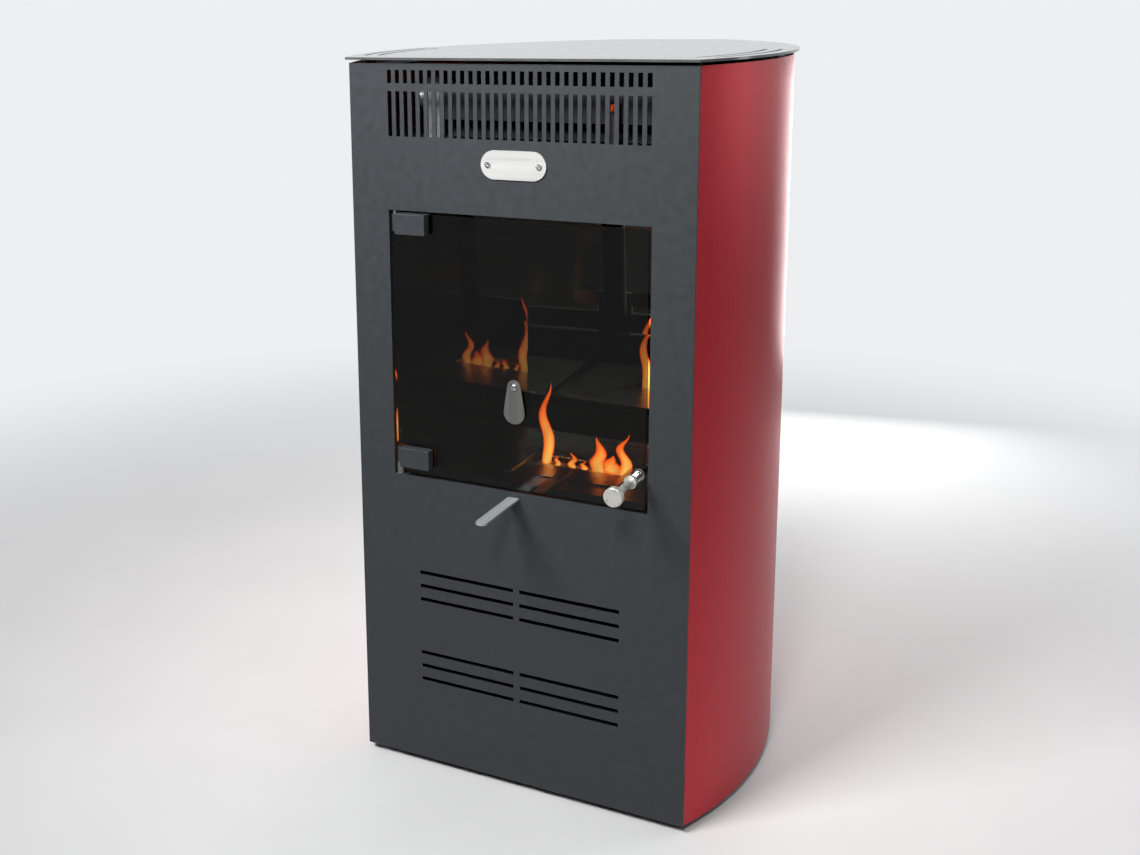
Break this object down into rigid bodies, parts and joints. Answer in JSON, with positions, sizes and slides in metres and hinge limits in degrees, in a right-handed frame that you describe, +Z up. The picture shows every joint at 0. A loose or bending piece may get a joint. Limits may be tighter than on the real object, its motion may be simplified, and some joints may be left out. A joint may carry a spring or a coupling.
{
  "type": "bioethanol fireplace",
  "caption": "Free-standing bioethanol stove with curved dark red sides, an anthracite front with a hinged glass door, a sprung knob, a sliding flame lever and a blower grille.",
  "frame": {"origin": "on the floor, at the middle of the whole object's footprint, knob and lever included", "axes": "+X to the right as seen from the front, +Y from the front to the back, +Z up"},
  "size_m": [0.5376, 0.658, 0.937],
  "materials": {
    "anthracite_coat": "matte powder coat",
    "bordeaux_paint": "satin",
    "plate_paint": "gloss",
    "polished_steel": "polished",
    "satin_steel": "satin",
    "zinc_steel": "zinc plated",
    "bright_chrome": "polished",
    "black_metal": "matte",
    "smoked_glass": "clear, lightly smoked",
    "ceramic_wool": "matte fibre",
    "black_plastic": "matte",
    "orange_lens": "translucent gloss",
    "black_rubber": "matte",
    "rotor_alloy": "satin"
  },
  "bodies": {
    "casing": {"front_panel": "anthracite_coat", "rear_panel": "black_metal", "rear_panel_screws": "zinc_steel", "top_plate": "plate_paint", "plate_spacers": "black_metal", "top_frame": "black_metal", "base_plate": "black_metal", "foot_pads": "black_rubber", "foot_studs": "zinc_steel", "foot_nuts": "zinc_steel", "front_posts": "black_metal", "rear_posts": "black_metal", "side_rails": "black_metal", "support_shelf": "zinc_steel", "firebox_back_lower": "polished_steel", "firebox_back_upper": "polished_steel", "firebox_rear_strip": "black_metal", "firebox_floor": "polished_steel", "firebox_roof": "zinc_steel", "burner_tank": "satin_steel", "burner_cover": "satin_steel", "ceramic_insert": "ceramic_wool", "lid_guides": "satin_steel", "hinge_pins": "satin_steel", "hinge_bush": "bright_chrome", "latch_keeper": "zinc_steel", "badge_plate": "satin_steel", "badge_screws": "zinc_steel", "fan_shelf": "black_metal", "pilot_lamp": "orange_lens", "fan_housing": "black_metal", "fan_motor": "zinc_steel", "fan_bearing": "black_rubber", "thermostat": "black_plastic", "power_inlet": "black_plastic", "right_shell": "bordeaux_paint", "left_shell": "bordeaux_paint", "firebox_right_wall": "polished_steel", "firebox_left_wall": "polished_steel"},
    "door": {"door_glass": "smoked_glass", "upper_hinge_clamp": "anthracite_coat", "lower_hinge_clamp": "anthracite_coat", "clamp_backplates": "satin_steel", "clamp_gaskets": "black_rubber", "clamp_screws": "zinc_steel", "cover_spacer": "black_plastic", "cover_screw": "bright_chrome", "spindle_bush": "satin_steel", "knob_spring": "bright_chrome"},
    "cover": {"ignition_cover": "satin_steel"},
    "knob": {"knob": "satin_steel", "knob_collar": "satin_steel", "knob_spindle": "zinc_steel", "latch_tongue": "zinc_steel", "tongue_nut": "zinc_steel"},
    "regulator": {"burner_lid": "satin_steel", "regulator_lever": "satin_steel", "lever_rivets": "zinc_steel"},
    "blower": {"fan_rotor": "rotor_alloy"},
    "rocker": {"switch_rocker": "black_plastic"}
  },
  "joints": [
    {"name": "door_hinge", "type": "hinge", "parent": "casing", "child": "door", "pos_m": [-0.164, -0.23, 0.575], "axis": [0, 0, -1], "range_deg": [0, 95]},
    {"name": "cover_swivel", "type": "hinge", "parent": "door", "child": "cover", "pos_m": [0, -0.235, 0.543], "axis": [0, -1, 0], "continuous": true},
    {"name": "knob_turn", "type": "hinge", "parent": "door", "child": "knob", "pos_m": [0.1605, -0.233, 0.455], "axis": [0, -1, 0], "range_deg": [0, 90]},
    {"name": "regulator_slide", "type": "slide", "parent": "casing", "child": "regulator", "axis": [0, 1, 0], "range_m": [0, 0.048]},
    {"name": "blower_spin", "type": "hinge", "parent": "casing", "child": "blower", "pos_m": [0.033, -0.175, 0.886], "axis": [1, 0, 0], "continuous": true},
    {"name": "rocker_tip", "type": "hinge", "parent": "casing", "child": "rocker", "pos_m": [0, 0.323, 0.11], "axis": [1, 0, 0], "range_deg": [-14, 0]}
  ]
}
